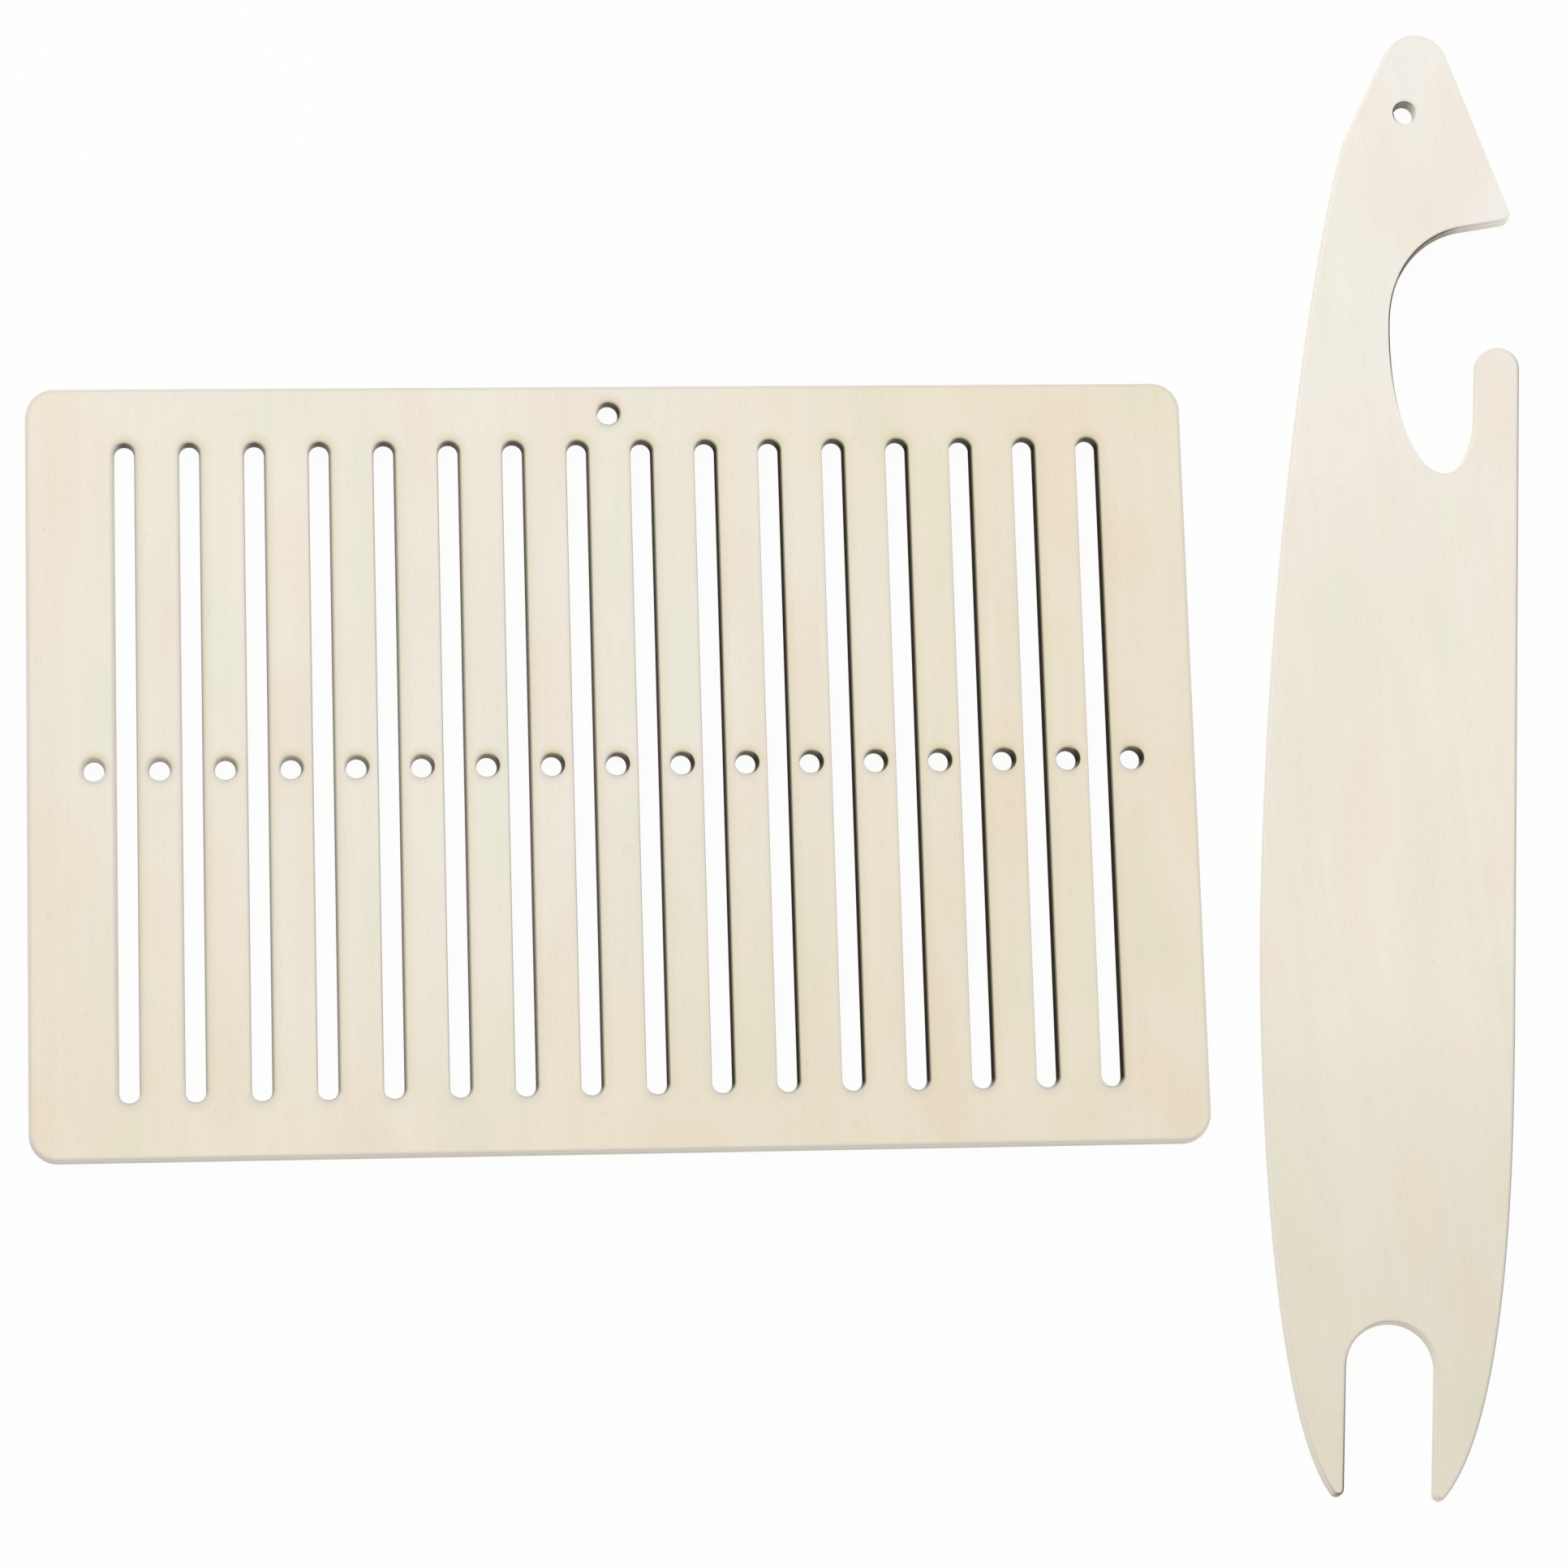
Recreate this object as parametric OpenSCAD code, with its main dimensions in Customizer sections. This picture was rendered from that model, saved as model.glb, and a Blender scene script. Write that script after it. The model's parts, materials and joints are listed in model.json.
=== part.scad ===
// Belt weaving loom: a rigid heddle card and a flat netting shuttle,
// both cut from one sheet of pale wood and laid side by side, face up.
// The origin is the middle eye of the heddle, at the back face, with +Z up.

/* [Sheet] */
// Thickness of the sheet that both pieces are cut from
sheet_t = 3; // [2:0.5:6]

/* [Slots and eyes] */
// Number of slots; there is one eye more
slot_count = 16; // [4:1:30]
// Distance from one slot to the next
slot_pitch = 11.67; // [9.5:0.01:16]
// Width of a slot
slot_w = 4.1; // [2:0.1:5]
// Length of a slot, end to end
slot_len = 120; // [60:1:160]
// Diameter of an eye
eye_d = 4.2; // [2:0.1:5]

/* [Heddle card] */
// From the middle of an outer eye to the card's side
side_margin = 11.64; // [8:0.01:20]
// Width of the rail above the slots, and of the one below
rail_w = 10; // [7.5:0.1:20]
// Radius of the card's corners
board_corner_r = 5; // [1:0.5:9]
// Diameter of the hole that the card hangs by, in the upper rail
hang_hole_d = 4.2; // [2:0.1:5]
// From the card's top edge down to the centre of that hole
hang_hole_drop = 5; // [3.6:0.1:6]

/* [Shuttle body] */
// Length of the shuttle, from its nose to its fork tips
shuttle_len = 272; // [250:1:330]
// Radius of the nose
nose_r = 6; // [4:0.1:8]
// Lean of the nose's two flanks from the centre line, in degrees
flank_lean = 23; // [18:1:26]
// How far the middle of the nose lies to the right of the centre line
nose_shift = 0.3; // [-1.5:0.1:1.5]
// From the centre line to the shoulder, where the nose's left flank ends
shoulder_reach = 12.6; // [10:0.1:15]
// Length of the eased stretch on each side of the shoulder
shoulder_ease = 4.2; // [2:0.1:6]
// Lean of the long left side just below the shoulder, in degrees
side_lean = 12.5; // [8:0.5:16]
// From the centre line to the bulge of the left side
bulge_reach = 24.9; // [21:0.1:30]
// Height of that bulge above the fork tips
bulge_height = 105.5; // [85:0.5:125]
// From the centre line to the right edge, where it starts to curve in
right_reach = 21.5; // [20:0.1:26]
// Height of that place above the fork tips
right_turn_height = 84; // [64:1:105]
// Diameter of the hole that the shuttle hangs by
shuttle_hole_d = 4.2; // [2:0.1:5]
// From the tip of the nose down to the centre of that hole
shuttle_hole_drop = 15.4; // [12:0.1:24]
// How far that hole lies to the left of the centre line
shuttle_hole_offset = 1.7; // [-2:0.1:3]

/* [Hook notch] */
// From the tip of the nose down to the middle of the beak
beak_drop = 33.6; // [30:0.1:46]
// Radius of the beak's point
beak_r = 1.5; // [0.8:0.1:2]
// Slope of the beak's underside, in degrees
beak_slope = 13; // [6:1:18]
// Length of the straight part of the beak's underside
beak_flat = 8.2; // [4:0.1:9]
// Gap from the beak down to the top of the prong
mouth_gap = 24.4; // [16:0.1:32]
// Length of the prong, from its top to the floor of the notch
prong_len = 24.6; // [18:0.1:34]
// Width of the prong
prong_w = 7.8; // [6:0.1:9.5]
// From the centre line to the outside of the prong
prong_reach = 20.6; // [19:0.1:24]
// Width of the notch, from its left wall to the prong
notch_w = 16.6; // [13:0.1:18]
// From the notch's left wall to the deepest place of its floor
notch_floor_in = 10.6; // [6:0.1:12]
// Height of the widest place of the notch above its floor
notch_wall_height = 28.4; // [21:0.1:36]
// Height of the straight inner side of the prong above the notch's floor
prong_straight_height = 11.6; // [6:0.1:15]

/* [Fork] */
// Width of the fork's slot
fork_w = 16.5; // [10:0.1:21]
// Depth of the fork's slot, from the tips to the top of its arch
fork_depth = 31.1; // [20:0.1:60]
// Radius of the two fork tips
tip_r = 1; // [0.6:0.1:1.5]
// Lean of the outer edge at a fork tip, in degrees
tip_lean = 38; // [28:1:45]

/* [How the two lie] */
// From the heddle's right edge to the shuttle's bulge line, at mid length
shuttle_gap = 13.5; // [12:0.1:60]
// How far the shuttle's middle lies above the heddle's middle
shuttle_rise = 1.4; // [-20:0.1:20]
// Turn of the shuttle to the right, in degrees
shuttle_turn = 4; // [0:0.5:5]

/* [Hidden] */
$fn = 96;
wood = "#ece3d3";
// Steps along a round corner and along a long curve of the shuttle's edge
arc_steps = 20;
curve_steps = 28;
// Handle lengths as shares of a stretch: a quarter round, and the long sides
quarter = 0.5523;
side_ease_low = 0.53;
side_ease_high = 0.095;
tail_ease_high = 0.2;
tail_ease_low = 0.185;

// The card reaches past its slots and eyes by its rails and side margins
board_w = slot_count * slot_pitch + 2 * side_margin;
board_h = slot_len + 2 * rail_w;

// Heights on the shuttle, measured from the middle of its length
nose_y = shuttle_len / 2;
tips_y = -shuttle_len / 2;
bulge_y = tips_y + bulge_height;
right_turn_y = tips_y + right_turn_height;
beak_y = nose_y - beak_drop;
prong_top_y = beak_y - beak_r - mouth_gap;
notch_floor_y = prong_top_y - prong_len;
notch_wall_y = notch_floor_y + notch_wall_height;
prong_straight_y = notch_floor_y + prong_straight_height;
fork_arch_y = tips_y + fork_depth - fork_w / 2;

// Places across the shuttle, measured from its centre line
prong_in_x = prong_reach - prong_w;
notch_wall_x = prong_in_x - notch_w;
notch_floor_x = notch_wall_x + notch_floor_in;

// Directions along the shuttle's edge
down_left = [-sin(flank_lean), -cos(flank_lean)];
down_right = [sin(flank_lean), -cos(flank_lean)];
side_down = [-sin(side_lean), -cos(side_lean)];
beak_in = [-cos(beak_slope), -sin(beak_slope)];
left_tip_up = [-sin(tip_lean), cos(tip_lean)];
right_tip_up = [sin(tip_lean), cos(tip_lean)];

// Centres of the rounds, and the places where a straight meets a curve
nose_c = [nose_shift, nose_y - nose_r];
nose_left = nose_c + nose_r * [-cos(flank_lean), sin(flank_lean)];
nose_right = nose_c + nose_r * [cos(flank_lean), sin(flank_lean)];
beak_run = (nose_right[1] - beak_r * sin(flank_lean) - beak_y) / cos(flank_lean);
beak_c = nose_c + (nose_r - beak_r) * [cos(flank_lean), sin(flank_lean)]
    + beak_run * down_right;
beak_under = beak_c + beak_r * [sin(beak_slope), -cos(beak_slope)];
notch_start = beak_under + beak_flat * beak_in;
prong_c = [prong_reach - prong_w / 2, prong_top_y - prong_w / 2];
right_tip_c = [fork_w / 2 + tip_r, tips_y + tip_r];
left_tip_c = [-right_tip_c[0], right_tip_c[1]];
right_tip = right_tip_c + tip_r * [cos(tip_lean), -sin(tip_lean)];
left_tip = left_tip_c + tip_r * [-cos(tip_lean), -sin(tip_lean)];
shoulder = nose_left
    + (nose_left[0] + shoulder_reach) / sin(flank_lean) * down_left;
shoulder_low = shoulder + shoulder_ease * side_down;
shoulder_high = shoulder - shoulder_ease * down_left;

// Points of a round corner about centre c, from angle a to angle b
function arc_points(c, r, a, b) = [
    for (i = [0 : arc_steps])
        let (t = a + (b - a) * i / arc_steps)
        c + r * [cos(t), sin(t)]
];

// Points between p and s on the curve that leaves p towards q and ends from r
function curve_points(p, q, r, s) = [
    for (i = [1 : curve_steps - 1])
        let (t = i / curve_steps, u = 1 - t)
        u * u * u * p + 3 * u * u * t * q + 3 * u * t * t * r + t * t * t * s
];

// A quarter round from p to s, which leaves p along the direction given
// and ends upright or level, as the direction at s says
function quarter_points(p, p_way, s, s_way, run, rise) =
    curve_points(p, p + quarter * run * p_way, s - quarter * rise * s_way, s);

// The notch's edge: in under the beak, down the left wall, round the floor
// and up the inside of the prong
notch_edge = concat(
    [notch_start],
    quarter_points(notch_start, beak_in, [notch_wall_x, notch_wall_y], [0, -1],
        notch_start[0] - notch_wall_x, notch_start[1] - notch_wall_y),
    [[notch_wall_x, notch_wall_y]],
    quarter_points([notch_wall_x, notch_wall_y], [0, -1],
        [notch_floor_x, notch_floor_y], [1, 0], notch_wall_height, notch_floor_in),
    [[notch_floor_x, notch_floor_y]],
    quarter_points([notch_floor_x, notch_floor_y], [1, 0],
        [prong_in_x, prong_straight_y], [0, 1],
        prong_in_x - notch_floor_x, prong_straight_height),
    [[prong_in_x, prong_straight_y]]
);

// The long right edge below the prong, curving in to the right fork tip
right_edge = concat(
    [[right_reach, right_turn_y]],
    curve_points([right_reach, right_turn_y],
        [right_reach, right_turn_y - tail_ease_high * right_turn_height],
        right_tip + tail_ease_low * bulge_height * right_tip_up, right_tip)
);

// The long left edge, from the left fork tip over the bulge to the shoulder
side_rise = shoulder_low[1] - bulge_y;
left_edge = concat(
    curve_points(left_tip, left_tip + tail_ease_low * bulge_height * left_tip_up,
        [-bulge_reach, bulge_y - tail_ease_high * bulge_height],
        [-bulge_reach, bulge_y]),
    [[-bulge_reach, bulge_y]],
    curve_points([-bulge_reach, bulge_y],
        [-bulge_reach, bulge_y + side_ease_low * side_rise],
        shoulder_low + side_ease_high * side_rise * side_down, shoulder_low),
    [shoulder_low],
    curve_points(shoulder_low, shoulder, shoulder, shoulder_high),
    [shoulder_high]
);

// The whole outline, clockwise from the left of the nose
shuttle_outline = concat(
    arc_points(nose_c, nose_r, 180 - flank_lean, flank_lean),
    arc_points(beak_c, beak_r, flank_lean, beak_slope - 90),
    notch_edge,
    arc_points(prong_c, prong_w / 2, 180, 0),
    right_edge,
    arc_points(right_tip_c, tip_r, -tip_lean, -180),
    arc_points([0, fork_arch_y], fork_w / 2, 0, 180),
    arc_points(left_tip_c, tip_r, 0, tip_lean - 180),
    left_edge
);

// A rectangle with round corners, centred
module round_rect(w, h, r) {
    square([w - 2 * r, h], center = true);
    square([w, h - 2 * r], center = true);
    for (x = [-1, 1], y = [-1, 1])
        translate([x * (w / 2 - r), y * (h / 2 - r)]) circle(r);
}

// A slot with round ends, upright and centred
module round_slot(w, len) {
    square([w, len - w], center = true);
    for (y = [-1, 1])
        translate([0, y * (len - w) / 2]) circle(d = w);
}

// The rigid heddle: slots and eyes take turns across the card
module heddle() {
    color(wood) linear_extrude(sheet_t) difference() {
        round_rect(board_w, board_h, board_corner_r);
        for (i = [0 : slot_count - 1])
            translate([(i - (slot_count - 1) / 2) * slot_pitch, 0])
                round_slot(slot_w, slot_len);
        for (i = [0 : slot_count])
            translate([(i - slot_count / 2) * slot_pitch, 0]) circle(d = eye_d);
        translate([0, board_h / 2 - hang_hole_drop]) circle(d = hang_hole_d);
    }
}

// The netting shuttle: a hook notch on the right and a fork at the foot
module shuttle() {
    color(wood)
        translate([board_w / 2 + shuttle_gap + bulge_reach, shuttle_rise, 0])
        rotate([0, 0, -shuttle_turn])
        linear_extrude(sheet_t) difference() {
            polygon(shuttle_outline);
            translate([-shuttle_hole_offset, nose_y - shuttle_hole_drop])
                circle(d = shuttle_hole_d);
        }
}

heddle();
shuttle();
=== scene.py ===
import json
import math

import bmesh
import bpy
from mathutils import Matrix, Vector
from mathutils.kdtree import KDTree


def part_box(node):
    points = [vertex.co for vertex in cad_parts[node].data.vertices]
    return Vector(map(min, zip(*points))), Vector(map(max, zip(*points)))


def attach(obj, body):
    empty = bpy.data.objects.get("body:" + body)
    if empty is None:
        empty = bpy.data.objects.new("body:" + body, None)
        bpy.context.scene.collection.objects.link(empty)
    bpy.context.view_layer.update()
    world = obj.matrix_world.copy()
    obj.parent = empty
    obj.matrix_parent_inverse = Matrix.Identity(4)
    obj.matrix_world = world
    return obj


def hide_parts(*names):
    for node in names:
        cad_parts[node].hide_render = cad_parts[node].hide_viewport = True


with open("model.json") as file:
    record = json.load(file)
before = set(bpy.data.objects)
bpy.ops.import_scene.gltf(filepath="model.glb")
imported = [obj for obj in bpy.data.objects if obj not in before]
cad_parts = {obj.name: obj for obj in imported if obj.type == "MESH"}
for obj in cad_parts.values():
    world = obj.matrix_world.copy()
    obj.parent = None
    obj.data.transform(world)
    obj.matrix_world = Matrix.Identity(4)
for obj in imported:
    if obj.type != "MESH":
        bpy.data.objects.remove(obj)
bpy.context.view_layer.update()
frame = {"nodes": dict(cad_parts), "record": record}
bpy.ops.object.select_all(action="DESELECT")


# Camera: it hangs a metre above the two pieces and looks down on them, a little
# from the card's lower left, through a long lens that keeps their edges almost parallel.
camera_place = (-0.0689, -0.2018, 1.001)
camera_turn = (11.32, -5.30, -1.77)
bpy.ops.object.camera_add(
    location=camera_place, rotation=[math.radians(angle) for angle in camera_turn]
)
camera = bpy.context.object
camera.data.sensor_fit = "HORIZONTAL"
camera.data.sensor_width = 36.0
camera.data.lens = 130.57
bpy.context.scene.camera = camera
bpy.context.scene.view_settings.view_transform = "Standard"


# Table: a smooth white sheet that fills the view. It shows as plain white, and takes
# a faint shadow where the two pieces lie on it. From below it isn't there, and it lets
# the room's light through to their undersides, which almost touch it.
def add_node(tree, kind, **settings):
    node = tree.nodes.new(kind)
    for name, value in settings.items():
        setattr(node, name, value)
    return node


def feed(tree, socket, value):
    """Joins a socket to another one, or sets it to a number or a colour."""
    if isinstance(value, bpy.types.NodeSocket):
        tree.links.new(value, socket)
    else:
        socket.default_value = value


def calc(tree, operation, *inputs, clamp=False):
    node = add_node(tree, "ShaderNodeMath", operation=operation, use_clamp=clamp)
    for socket, value in zip(node.inputs, inputs):
        feed(tree, socket, value)
    return node.outputs[0]


def mix_shaders(tree, share, low, high):
    """Goes from the low shader to the high one as the share goes from 0 to 1."""
    node = add_node(tree, "ShaderNodeMixShader")
    feed(tree, node.inputs[0], share)
    feed(tree, node.inputs[1], low.outputs[0])
    feed(tree, node.inputs[2], high.outputs[0])
    return node


def new_tree(owner):
    owner.use_nodes = True
    owner.node_tree.nodes.clear()
    return owner.node_tree


def seen_as_backdrop(tree):
    """1 for what the camera sees, straight or in a shine, and 0 for the light on the pieces."""
    ray = add_node(tree, "ShaderNodeLightPath").outputs
    mirrored = calc(tree, "MAXIMUM", ray["Is Glossy Ray"], ray["Is Transmission Ray"])
    return calc(tree, "MAXIMUM", ray["Is Camera Ray"], mirrored)


table_size = 4.0
table_drop = 0.0001
touching_gap = 0.001
white = (1.0, 1.0, 1.0, 1.0)
table_paper = (0.88, 0.86, 0.83, 1.0)
shadow_share = 0.05

bpy.ops.mesh.primitive_plane_add(size=table_size, location=(0, 0, -table_drop))
table = bpy.context.object
table.name = "table"
paper = bpy.data.materials.new("white_table")
tree = new_tree(paper)
matt = add_node(tree, "ShaderNodeBsdfDiffuse")
matt.inputs["Color"].default_value = table_paper
glow = add_node(tree, "ShaderNodeEmission")
glow.inputs["Color"].default_value = white
clear = add_node(tree, "ShaderNodeBsdfTransparent")
white_share = calc(tree, "MULTIPLY", seen_as_backdrop(tree), 1 - shadow_share)
upper_side = mix_shaders(tree, white_share, matt, glow)
ray_length = add_node(tree, "ShaderNodeLightPath").outputs["Ray Length"]
from_below = add_node(tree, "ShaderNodeNewGeometry").outputs["Backfacing"]
under_piece = calc(tree, "LESS_THAN", ray_length, touching_gap)
not_there = calc(tree, "MAXIMUM", from_below, under_piece)
surface = mix_shaders(tree, not_there, upper_side, clear)
out = add_node(tree, "ShaderNodeOutputMaterial")
feed(tree, out.inputs["Surface"], surface.outputs[0])
table.data.materials.append(paper)


# Light: an even white studio all round, and one large soft lamp at the upper left,
# so that the faces are a little brighter there. A low one at the right fills the cut walls.
room_light, backdrop_light = 0.62, 1.0
lamp_width = 1.0
lamps = {
    "lamp": (Vector((-0.6, 0.9, 1.3)), 11.9),
    "fill": (Vector((2.0, -0.4, 0.6)), 8.0),
}

world = bpy.data.worlds.new("studio")
bpy.context.scene.world = world
tree = new_tree(world)
room = add_node(tree, "ShaderNodeBackground")
room.inputs["Color"].default_value = white
room.inputs["Strength"].default_value = room_light
backdrop = add_node(tree, "ShaderNodeBackground")
backdrop.inputs["Color"].default_value = white
backdrop.inputs["Strength"].default_value = backdrop_light
surroundings = mix_shaders(tree, seen_as_backdrop(tree), room, backdrop)
out = add_node(tree, "ShaderNodeOutputWorld")
feed(tree, out.inputs["Surface"], surroundings.outputs[0])

for name, (place, power) in lamps.items():
    bpy.ops.object.light_add(type="AREA", location=place)
    lamp = bpy.context.object
    lamp.name = name
    lamp.data.size = lamp_width
    lamp.data.energy = power
    lamp.rotation_euler = (-place).to_track_quat("-Z", "Y").to_euler()


# Heddle card: one flat sheet of basswood ply with sixteen slots and seventeen eyes in turn.
# A laser cuts its outline and openings, which leaves the cut walls brown and a thin
# singed line along each rim. The faces are sanded and bare.
MM = 0.001
heddle_low, heddle_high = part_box("heddle")
card_size = heddle_high - heddle_low
sheet_t = card_size.z
mounts = {mount["name"]: mount for mount in frame["record"]["mounts"]}
eyes = [mount for name, mount in sorted(mounts.items()) if name.startswith("eye_")]
slot_pitch = eyes[1]["pos_m"][0] - eyes[0]["pos_m"][0]
slot_count = len(eyes) - 1
eye_r = eyes[0]["dims"]["r_mm"] * MM
slot_w = 4.1 * MM
slot_len = 120.0 * MM
card_corner_r = 5.0 * MM
heddle_hole = Vector(mounts["heddle_hang_hole"]["pos_m"])
heddle_hole_r = mounts["heddle_hang_hole"]["dims"]["r_mm"] * MM

weld_gap = 0.001 * MM
circle_steps, corner_steps, slot_end_steps = 48, 16, 12
outline_round, outline_round_steps = 0.4 * MM, 4
opening_round, opening_round_steps = 0.28 * MM, 3
foot_spread = 0.3 * MM
smooth_angle = math.radians(40)
rim_margin = 1.0 * MM
wall_slope, face_slope = 0.3, 0.9
# Inside each rim lie two rings of faces: how wide each is, and how near its inner side
# counts as being to the rim, where 1 is on it and 0 away from it.
rim_rings = ((0.45 * MM, 0.5), (0.35 * MM, 0.0))


def pick_edges(piece, wanted):
    """Selects the edges that pass the test, in edit mode, and nothing else."""
    bpy.ops.mesh.select_mode(type="EDGE")
    bpy.ops.mesh.select_all(action="DESELECT")
    for edge in bmesh.from_edit_mesh(piece.data).edges:
        if wanted(edge):
            edge.select = True
    bmesh.update_edit_mesh(piece.data)


def is_rim(edge):
    """True for an edge between a flat face and a cut wall."""
    slopes = sorted(abs(face.normal.z) for face in edge.link_faces)
    return len(slopes) == 2 and slopes[0] < wall_slope and slopes[1] > face_slope


def mark_selected(piece, value):
    """Sets how near to a rim the selected points of the piece are."""
    bpy.ops.object.mode_set(mode="OBJECT")
    rim_near = piece.data.attributes["rim_near"].data
    for point in piece.data.vertices:
        if point.select:
            rim_near[point.index].value = value
    bpy.ops.object.mode_set(mode="EDIT")


def cut_from_sheet(piece, on_outline):
    """Makes flat outlines on the table into a piece of sheet, as a laser leaves it.

    Its walls spread a little towards the table. Its rims are sanded soft, the outer ones more.
    """
    piece.data.attributes.new("rim_near", "FLOAT", "POINT")
    bpy.ops.object.mode_set(mode="EDIT")
    bpy.ops.mesh.select_mode(type="VERT")
    bpy.ops.mesh.select_all(action="SELECT")
    bpy.ops.mesh.remove_doubles(threshold=weld_gap)
    bpy.ops.mesh.fill()
    mark_selected(piece, 1.0)
    for width, value in rim_rings:
        bpy.ops.mesh.inset(thickness=width, use_even_offset=True)
        mark_selected(piece, value)
    bpy.ops.mesh.select_all(action="SELECT")
    bpy.ops.mesh.extrude_region_move(TRANSFORM_OT_translate={"value": (0, 0, sheet_t)})
    bpy.ops.mesh.select_all(action="SELECT")
    bpy.ops.mesh.normals_make_consistent(inside=False)
    # The lower rims move out and down at 45 degrees, and are then pressed back level.
    pick_edges(piece, lambda edge: is_rim(edge) and edge.verts[0].co.z < sheet_t / 2)
    bpy.ops.transform.shrink_fatten(value=foot_spread * math.sqrt(2))
    bpy.ops.transform.resize(value=(1, 1, 0), center_override=(0, 0, 0))
    pick_edges(piece, lambda edge: is_rim(edge) and on_outline(edge.verts[0].co))
    bpy.ops.mesh.bevel(offset=outline_round, segments=outline_round_steps, affect="EDGES")
    pick_edges(piece, lambda edge: is_rim(edge) and not on_outline(edge.verts[0].co))
    bpy.ops.mesh.bevel(offset=opening_round, segments=opening_round_steps, affect="EDGES")
    bpy.ops.object.mode_set(mode="OBJECT")
    bpy.ops.object.shade_smooth_by_angle(angle=smooth_angle)
    bpy.ops.object.modifier_add(type="WEIGHTED_NORMAL")
    bpy.ops.object.modifier_apply(modifier=piece.modifiers[-1].name)


def near_hole(place, hole, radius):
    """True for a point at the rim of a round hole."""
    return (place.xy - hole.xy).length < radius + rim_margin


def is_wall(face):
    return abs(face.normal.z) < wall_slope


def cut_sides(piece):
    """For each point, the way that the nearest cut wall faces, level with the sheet."""
    facing = {}
    for face in filter(is_wall, piece.data.polygons):
        for index in face.vertices:
            facing[index] = facing.get(index, Vector()) + face.normal
    walls = KDTree(len(facing))
    for index in facing:
        walls.insert(piece.data.vertices[index].co, index)
    walls.balance()
    return [facing[walls.find(point.co)[1]].normalized() for point in piece.data.vertices]


def facing_shares(facing):
    """How much a wall faces left, right, down and up the sheet. The four add up to one."""
    return [max(0.0, way) ** 2 for way in (-facing.x, facing.x, -facing.y, facing.y)]


def tell_points(piece, **marks):
    """Keeps numbers for each point of the piece, for its materials to read."""
    for name, values in marks.items():
        piece.data.attributes.new(name, "FLOAT", "POINT").data.foreach_set("value", values)


bpy.ops.mesh.primitive_plane_add(size=1)
heddle = bpy.context.object
heddle.name = "heddle_card"
heddle.data.name = "heddle_card"
bpy.ops.object.mode_set(mode="EDIT")
bpy.ops.transform.resize(value=(card_size.x, card_size.y, 1))
bpy.ops.mesh.bevel(offset=card_corner_r, segments=corner_steps, affect="VERTICES")

next_place = {"value": (slot_pitch, 0, 0)}
bpy.ops.mesh.primitive_plane_add(size=1)
bpy.ops.transform.resize(value=(slot_w, slot_len, 1))
bpy.ops.mesh.bevel(offset=slot_w / 2, segments=slot_end_steps, affect="VERTICES")
bpy.ops.transform.translate(value=(-(slot_count - 1) / 2 * slot_pitch, 0, 0))
for _ in range(slot_count - 1):
    bpy.ops.mesh.duplicate_move(TRANSFORM_OT_translate=next_place)

bpy.ops.mesh.primitive_circle_add(vertices=circle_steps, radius=eye_r, location=eyes[0]["pos_m"])
for _ in range(slot_count):
    bpy.ops.mesh.duplicate_move(TRANSFORM_OT_translate=next_place)
bpy.ops.mesh.primitive_circle_add(
    vertices=circle_steps, radius=heddle_hole_r, location=heddle_hole
)

bpy.ops.mesh.select_all(action="SELECT")
bpy.ops.mesh.delete(type="ONLY_FACE")
bpy.ops.object.mode_set(mode="OBJECT")
openings_reach = Vector(eyes[-1]["pos_m"]).x + eye_r + rim_margin


def on_card_outline(place):
    """True for a point at the card's outer edge, False for one at a slot, eye or hole."""
    if abs(place.x) > openings_reach:
        return True
    past_slots = abs(place.y) > slot_len / 2 + rim_margin
    return past_slots and not near_hole(place, heddle_hole, heddle_hole_r)


cut_from_sheet(heddle, on_card_outline)

# How dark the scorching is, with painted shade laid on it: the openings are painted darker
# towards the card's right, and in each one the right wall and the top, which lie in shade,
# are painted darker still. The outline was sanded clean. The grey line on an opening's left
# rim, partly painted shade, is strong at the first slot, gone by the third, and comes back
# faintly from the middle on.
shade_from, shade_to, shade_ease = -0.087, 0.028, 1.6
light_char, slot_top_char, eye_top_share, outline_char = 0.42, 0.81, 0.77, 0.16
slot_burn, eye_burn, top_burn = 0.85, 1.8, 0.2
slot_foot_burn, eye_foot_burn = 0.3, 0.15
outline_dull, least_dull, more_dull = 0.7, 0.3, 0.4
first_left_dull, first_fade = 0.85, 6
last_left_dull, last_fade = 0.3, 4
char, burn, dull = [], [], []
for point, facing in zip(heddle.data.vertices, cut_sides(heddle)):
    if on_card_outline(point.co):
        char.append(outline_char)
        burn.append(0.0)
        dull.append(outline_dull)
        continue
    # Painted shade: walls and rims facing left or down are darker, more so towards the card's
    # right.
    left, right, down, up = facing_shares(facing)
    to_left = min(1.0, max(0.0, (shade_to - point.co.x) / (shade_to - shade_from)))
    clean = to_left**shade_ease
    shaded = 1.0 - clean
    at_slot_end = abs(point.co.y) > slot_len / 2 - slot_w
    at_eye = abs(point.co.y) < slot_len / 4
    side_char = light_char + (1.0 - light_char) * shaded
    top_char = slot_top_char if at_slot_end else eye_top_share * side_char
    char.append(side_char * left + top_char * down)
    side_burn = eye_burn if at_eye else slot_burn
    foot_burn = slot_foot_burn if at_slot_end else eye_foot_burn
    burn.append(side_burn * shaded * left + top_burn * top_char * down + foot_burn * up)
    left_rim_dull = first_left_dull * clean**first_fade + last_left_dull * shaded**last_fade
    other_dull = least_dull + more_dull * max(up, clean)
    dull.append(left_rim_dull * right + other_dull * (1.0 - right))
tell_points(heddle, char=char, burn=burn, dull=dull)


def colour(red, green, blue):
    """A screen colour, 0 to 255 each, as the shader wants it."""
    shares = [level / 255 for level in (red, green, blue)]
    return [s / 12.92 if s < 0.04045 else ((s + 0.055) / 1.055) ** 2.4 for s in shares] + [1.0]


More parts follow.
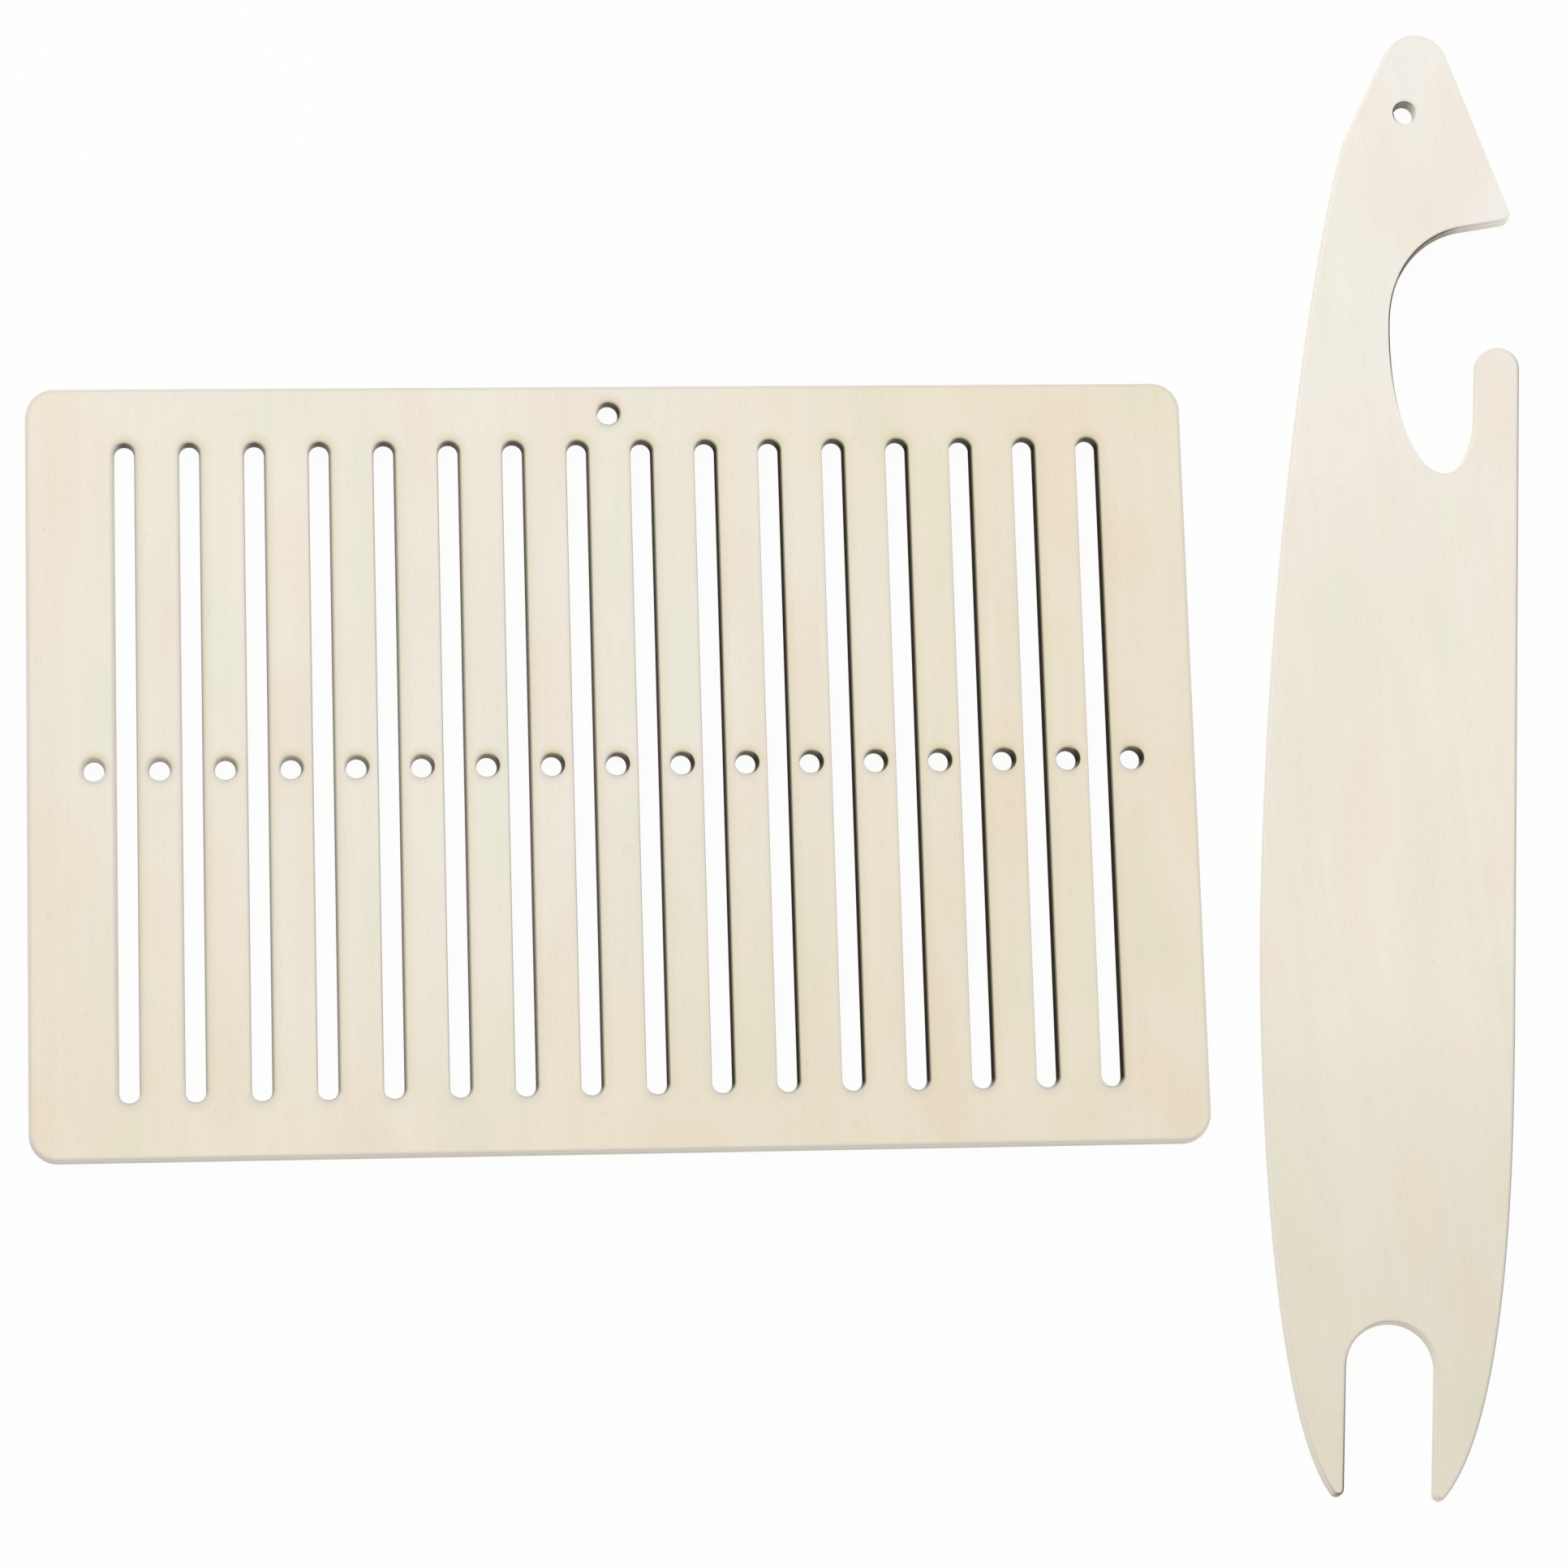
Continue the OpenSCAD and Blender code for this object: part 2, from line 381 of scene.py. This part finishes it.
def blend(tree, share, low, high, way="MIX"):
    """Goes from the low colour to the high one as the share goes from 0 to 1."""
    node = add_node(tree, "ShaderNodeMix", data_type="RGBA", blend_type=way)
    feed(tree, node.inputs[0], share)
    feed(tree, node.inputs[6], low)
    feed(tree, node.inputs[7], high)
    return node.outputs[2]


def spread(tree, value, low, high):
    """The value stretched so that low becomes 0 and high becomes 1, and kept there."""
    node = add_node(tree, "ShaderNodeMapRange", interpolation_type="SMOOTHSTEP")
    feed(tree, node.inputs["Value"], value)
    node.inputs["From Min"].default_value = low
    node.inputs["From Max"].default_value = high
    return node.outputs[0]


def read(tree, name):
    return add_node(tree, "ShaderNodeAttribute", attribute_name=name).outputs["Fac"]


def object_place(tree):
    return add_node(tree, "ShaderNodeTexCoord").outputs["Object"]


def object_axes(tree):
    """The x, y and z of a point on the piece."""
    axes = add_node(tree, "ShaderNodeSeparateXYZ")
    feed(tree, axes.inputs[0], object_place(tree))
    return axes.outputs


def grain_noise(tree, turn, across, along, deep=None, detail=2.0, seed=0.0):
    """A noise whose spots are so many millimetres across the grain, along it and deep."""
    mapping = add_node(tree, "ShaderNodeMapping")
    feed(tree, mapping.inputs["Vector"], object_place(tree))
    mapping.inputs["Location"].default_value = (seed, seed, 0)
    mapping.inputs["Rotation"].default_value = (0, 0, turn)
    squeeze = add_node(tree, "ShaderNodeVectorMath", operation="MULTIPLY")
    feed(tree, squeeze.inputs[0], mapping.outputs[0])
    squeeze.inputs[1].default_value = [1 / size / MM for size in (across, along, deep or across)]
    noise = add_node(tree, "ShaderNodeTexNoise", noise_dimensions="3D")
    feed(tree, noise.inputs["Vector"], squeeze.outputs[0])
    noise.inputs["Scale"].default_value = 1.0
    noise.inputs["Detail"].default_value = detail
    noise.inputs["Roughness"].default_value = 0.55
    return noise.outputs["Fac"]


patch_share, streak_share, fibre_share = 0.30, 0.22, 0.48
tint_share, fleck_share = 0.5, 0.2
rosy_tint, mossy_tint = colour(255, 248, 243), colour(249, 254, 246)
fleck_tint = colour(226, 214, 196)


def basswood(tree, turn, pale, deep, seed, light_middle, falloff_tones):
    """Colour and relief of a sanded basswood face: soft patches, broad streaks, fine fibres.

    Its colour has painted light fall-off: palest at its lit middle, darker further out.
    Each tone sets in between its two distances from there.
    A piece with a seed of its own has spots and streaks of its own.
    """
    patches = grain_noise(tree, turn, across=22, along=45, seed=seed)
    streaks = grain_noise(tree, turn, across=2.6, along=120, seed=seed + 1)
    fibres = grain_noise(tree, turn, across=0.35, along=18, detail=3.0, seed=seed + 2)
    flecks = grain_noise(tree, turn, across=0.22, along=1.6, detail=0.0, seed=seed + 3)
    tints = grain_noise(tree, turn, across=16, along=42, detail=1.0, seed=seed + 4)
    share = calc(tree, "MULTIPLY", spread(tree, patches, 0.35, 0.65), patch_share)
    share = calc(tree, "MULTIPLY_ADD", spread(tree, streaks, 0.3, 0.7), streak_share, share)
    share = calc(tree, "MULTIPLY_ADD", fibres, fibre_share, share)
    face = blend(tree, share, pale, deep)
    stains = (
        (spread(tree, tints, 0.52, 0.66), tint_share, rosy_tint),
        (spread(tree, tints, 0.48, 0.34), tint_share, mossy_tint),
        (spread(tree, flecks, 0.70, 0.80), fleck_share, fleck_tint),
    )
    for places, strength, tint in stains:
        face = blend(tree, calc(tree, "MULTIPLY", places, strength), face, tint, "MULTIPLY")
    from_light_middle = add_node(tree, "ShaderNodeVectorMath", operation="DISTANCE")
    feed(tree, from_light_middle.inputs[0], object_place(tree))
    from_light_middle.inputs[1].default_value = light_middle
    for near, far, tone in falloff_tones:
        reached = spread(tree, from_light_middle.outputs["Value"], near, far)
        face = blend(tree, reached, face, tone, "MULTIPLY")
    return face, fibres


def finish_wood(tree, face, relief, relief_depth, roughness, shine):
    """Joins the colour and the relief to a matt wood surface."""
    wood = add_node(tree, "ShaderNodeBsdfPrincipled")
    feed(tree, wood.inputs["Base Color"], face)
    wood.inputs["Roughness"].default_value = roughness
    wood.inputs["Specular IOR Level"].default_value = shine
    bump = add_node(tree, "ShaderNodeBump")
    bump.inputs["Strength"].default_value = 1.0
    bump.inputs["Distance"].default_value = relief_depth
    feed(tree, bump.inputs["Height"], relief)
    feed(tree, wood.inputs["Normal"], bump.outputs[0])
    out = add_node(tree, "ShaderNodeOutputMaterial")
    feed(tree, out.inputs["Surface"], wood.outputs[0])


# Grey line and dark line along the rims: partly real singe, partly painted shade.
dull_tone, dull_band = colour(217, 211, 201), (0.0, 0.8)
burn_tone, burn_band = colour(56, 47, 28), (0.52, 1.0)
sanded = {"relief_depth": 0.02 * MM, "roughness": 0.62, "shine": 0.25}


def singed_and_shaded_rim(tree, face):
    """Lays a grey line, then a dark scorch line, along the rims over the face's colour; both
    partly painted shade.
    """
    near = read(tree, "rim_near")
    dulled = calc(tree, "MULTIPLY", spread(tree, near, *dull_band), read(tree, "dull"))
    face = blend(tree, dulled, face, dull_tone)
    burnt = calc(tree, "MULTIPLY", spread(tree, near, *burn_band), read(tree, "burn"))
    return blend(tree, burnt, face, burn_tone)


stain_up, stain_right, stain_all_round, ash_down = 0.7, 0.3, 0.15, 0.8


def smoke_round(tree, x, y, radius, reach):
    """Smoke stain and ash above and below an opening whose middle line lies x, y away."""
    offset = add_node(tree, "ShaderNodeCombineXYZ")
    feed(tree, offset.inputs[0], x)
    feed(tree, offset.inputs[1], y)
    length = add_node(tree, "ShaderNodeVectorMath", operation="LENGTH")
    feed(tree, length.inputs[0], offset.outputs[0])
    away = length.outputs["Value"]
    near = spread(tree, away, radius + reach, radius)
    up = calc(tree, "DIVIDE", y, away)
    right = calc(tree, "DIVIDE", x, away)
    upper = calc(tree, "MULTIPLY_ADD", up, stain_up, stain_all_round)
    stain = calc(tree, "MULTIPLY_ADD", right, stain_right, upper, clamp=True)
    ash = calc(tree, "MULTIPLY", up, -ash_down, clamp=True)
    return calc(tree, "MULTIPLY", near, stain), calc(tree, "MULTIPLY", near, ash)


def from_bay_middle(tree, bay):
    """How far to the side of its bay's middle line a point lies, in a row of like openings."""
    share = calc(tree, "SUBTRACT", calc(tree, "FRACT", bay), 0.5)
    return calc(tree, "MULTIPLY", share, slot_pitch)


def in_row(tree, bay, count):
    """1 as far as a row of so many openings reaches to both sides, and 0 past it."""
    return calc(tree, "LESS_THAN", calc(tree, "ABSOLUTE", bay), count / 2)


card_face = bpy.data.materials.new("heddle_basswood")
tree = new_tree(card_face)
card_pale, card_deep = colour(244, 238, 226), colour(236, 229, 213)
card_turn, card_seed = 0.0, 0.0
# The card's face is palest at its upper left and painted darker further out: painted light
# fall-off.
card_light_middle = (-0.04, 0.03, 0)
card_falloff_tones = [(0.045, 0.12, colour(253, 249, 240))]
face, relief = basswood(
    tree, card_turn, card_pale, card_deep, card_seed, card_light_middle, card_falloff_tones
)

# The brown smoke stain lies above the openings and the grey ash below them, and each has
# its strength and its tone.
slot_smoke_reach, hole_smoke_reach = 2.2 * MM, 1.8 * MM
smoke_looks = ((0.75, colour(222, 208, 164)), (0.55, colour(208, 202, 194)))
x, y, _ = object_axes(tree)
bay = calc(tree, "DIVIDE", x, slot_pitch)
from_slot = from_bay_middle(tree, bay)
from_eye = from_bay_middle(tree, calc(tree, "ADD", bay, 0.5))
past_end = calc(tree, "SUBTRACT", calc(tree, "ABSOLUTE", y), (slot_len - slot_w) / 2)
past_end = calc(tree, "MAXIMUM", past_end, 0.0)
from_end = calc(tree, "MULTIPLY", past_end, calc(tree, "SIGN", y))
from_hole = calc(tree, "SUBTRACT", y, heddle_hole.y)
slot_smoke = smoke_round(tree, from_slot, from_end, slot_w / 2, slot_smoke_reach)
eye_smoke = smoke_round(tree, from_eye, y, eye_r, hole_smoke_reach)
hole_smoke = smoke_round(tree, x, from_hole, heddle_hole_r, hole_smoke_reach)
in_slot_row = in_row(tree, bay, slot_count)
in_eye_row = in_row(tree, bay, slot_count + 1)
smokes = zip(slot_smoke, eye_smoke, hole_smoke, smoke_looks)
for by_slot, by_eye, by_hole, (strength, tone) in smokes:
    smoke = calc(tree, "MULTIPLY", by_slot, in_slot_row)
    smoke = calc(tree, "MAXIMUM", smoke, calc(tree, "MULTIPLY", by_eye, in_eye_row))
    smoke = calc(tree, "MAXIMUM", smoke, by_hole)
    face = blend(tree, calc(tree, "MULTIPLY", smoke, strength), face, tone)
finish_wood(tree, singed_and_shaded_rim(tree, face), relief, **sanded)

core_share, core_soft_share = 0.15, 0.20
marks_share, marks_tone = 0.45, colour(236, 228, 214)
laser_cut = {"relief_depth": 0.03 * MM, "roughness": 0.9, "shine": 0.05}


def cut_wall(name, clean, core, charred):
    """Colour of a laser-cut wall: three plies, scorched brown with painted shade, and the beam's
    fine upright marks.
    """
    material = bpy.data.materials.new(name)
    tree = new_tree(material)
    marks = grain_noise(tree, 0.0, across=0.28, along=0.28, deep=8.0, seed=7.0)
    from_middle = calc(tree, "SUBTRACT", object_axes(tree)[2], sheet_t / 2)
    from_middle = calc(tree, "ABSOLUTE", from_middle)
    in_core = spread(tree, from_middle, core_soft_share * sheet_t, core_share * sheet_t)
    wall = blend(tree, in_core, clean, core)
    wall = blend(tree, read(tree, "char"), wall, charred)
    marked = calc(tree, "MULTIPLY", spread(tree, marks, 0.35, 0.7), marks_share)
    wall = blend(tree, marked, wall, marks_tone, "SOFT_LIGHT")
    finish_wood(tree, wall, marks, **laser_cut)
    return material


def dress(piece, face_finish, wall_finish):
    """Gives a piece one finish for its faces and one for its cut walls."""
    piece.data.materials.append(face_finish)
    piece.data.materials.append(wall_finish)
    for face in piece.data.polygons:
        face.material_index = int(is_wall(face))


# The charred colour is dark enough to carry painted shade on the walls in shade as well.
card_clean, card_core, card_charred = (
    colour(255, 252, 244),
    colour(243, 234, 218),
    colour(38, 31, 16),
)
dress(heddle, card_face, cut_wall("heddle_cut_wall", card_clean, card_core, card_charred))

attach(heddle, "heddle")
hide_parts("heddle")


# Netting shuttle: the weft yarn is wound lengthwise over its fork and through the
# hook notch at the top. It is cut from the same sheet as the card, and its grain runs
# along it.
shuttle_hole = Vector(mounts["shuttle_hang_hole"]["pos_m"])
shuttle_hole_r = mounts["shuttle_hang_hole"]["dims"]["r_mm"] * MM

bpy.ops.object.select_all(action="DESELECT")
solid = frame["nodes"]["shuttle"]
shuttle = bpy.data.objects.new("netting_shuttle", solid.data.copy())
shuttle.data.name = "netting_shuttle"
shuttle.data.materials.clear()
bpy.context.collection.objects.link(shuttle)
bpy.context.view_layer.objects.active = shuttle
shuttle.select_set(True)
bpy.ops.object.mode_set(mode="EDIT")
bpy.ops.mesh.select_all(action="SELECT")
bpy.ops.mesh.remove_doubles(threshold=weld_gap)

# Of the CAD solid only the outline on the table is kept, and the hole is cut anew.
bpy.ops.mesh.select_mode(type="FACE")
bpy.ops.mesh.select_all(action="DESELECT")
for face in bmesh.from_edit_mesh(shuttle.data).faces:
    face.select = face.normal.z < -face_slope
bpy.ops.mesh.region_to_loop()
bpy.ops.mesh.select_all(action="INVERT")
bpy.ops.mesh.delete(type="EDGE")
bpy.ops.mesh.select_mode(type="VERT")
bpy.ops.mesh.select_all(action="DESELECT")
for point in bmesh.from_edit_mesh(shuttle.data).verts:
    at_hole = near_hole(point.co, shuttle_hole, shuttle_hole_r)
    point.select = at_hole or point.co.z > sheet_t / 2
bpy.ops.mesh.delete(type="VERT")
bpy.ops.mesh.primitive_circle_add(
    vertices=circle_steps, radius=shuttle_hole_r, location=shuttle_hole
)
bpy.ops.object.mode_set(mode="OBJECT")
cut_from_sheet(shuttle, lambda place: not near_hole(place, shuttle_hole, shuttle_hole_r))

# Its walls are clean but for a few scorched places, where the walls that face right or down
# also get painted shade: where the notch turns under the beak and runs down beside it, the top
# of the hanging hole, the fork's arch and the inside of its left arm. Its right edge is scorched
# lightly all along, below the beak, with painted shade there too. Each place has its middle,
# how far it reaches and how strong it is.
burnt_places = (
    (Vector((0.153, 0.094)), 11.0 * MM, 1.5),
    (Vector((0.145, 0.081)), 18.0 * MM, 1.0),
    (shuttle_hole.xy, 6.0 * MM, 1.0),
    (Vector((0.130, -0.099)), 12.0 * MM, 0.35),
    (Vector((0.126, -0.126)), 22.0 * MM, 1.1),
)
burnt_core = 1.4
down_shade_share, wall_burn, rim_burn = 0.75, 0.9, 1.3
edge_singe_and_shade, foot_char = 0.42, 0.1
under_dull, upper_dull = 0.5, 0.2
prong_top, notch_deepest, fork_top = 0.08, 0.155, -0.09
nose_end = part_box("shuttle")[1].y


def on_right_edge(place):
    """True on the outer edge from the prong's top down to the right tip, and in the fork."""
    return place.y < prong_top and (place.x > notch_deepest or place.y < fork_top)


def how_burnt(place):
    """From 0 for a clean spot to 1 for one in the middle of a scorched place, which also holds
    painted shade.
    """
    shares = [0.0]
    for middle, reach, strength in burnt_places:
        inside = 1.0 - (place.xy - middle).length / reach
        shares.append(strength * burnt_core * inside)
    return min(1.0, max(shares))


char, burn, dull = [], [], []
for point, facing in zip(shuttle.data.vertices, cut_sides(shuttle)):
    # Painted shade: walls facing right or down, and rims facing down, are darker.
    _, right, down, up = facing_shares(facing)
    burnt = how_burnt(point.co) * (right + down_shade_share * down)
    singed_and_shaded = right if on_right_edge(point.co) else 0.0
    towards_foot = max(0.0, -point.co.y / nose_end)
    char.append(max(edge_singe_and_shade * singed_and_shaded, wall_burn * burnt, foot_char * towards_foot))
    burn.append(max(edge_singe_and_shade * singed_and_shaded, rim_burn * burnt))
    dull.append(max(singed_and_shaded, under_dull * down, upper_dull * up))
tell_points(shuttle, char=char, burn=burn, dull=dull)

shuttle_face = bpy.data.materials.new("shuttle_basswood")
tree = new_tree(shuttle_face)
shuttle_pale, shuttle_deep = colour(249, 244, 236), colour(242, 236, 225)
shuttle_turn, shuttle_seed = math.radians(-4.0), 20.0
# The shuttle's face is palest at its head and painted darker towards the tips: painted light
# fall-off.
shuttle_light_middle = (0.14, 0.12, 0)
shuttle_falloff_tones = [(0.02, 0.12, colour(253, 251, 246)), (0.14, 0.245, colour(243, 243, 236))]
face, relief = basswood(
    tree, shuttle_turn, shuttle_pale, shuttle_deep, shuttle_seed, shuttle_light_middle, shuttle_falloff_tones
)
finish_wood(tree, singed_and_shaded_rim(tree, face), relief, **sanded)
# The charred colour also carries the painted shade on the shuttle's walls in shade.
shuttle_clean, shuttle_core, shuttle_charred = (
    colour(254, 250, 242),
    colour(246, 240, 227),
    colour(78, 70, 50),
)
shuttle_wall = cut_wall("shuttle_cut_wall", shuttle_clean, shuttle_core, shuttle_charred)
dress(shuttle, shuttle_face, shuttle_wall)

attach(shuttle, "shuttle")
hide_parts("shuttle")
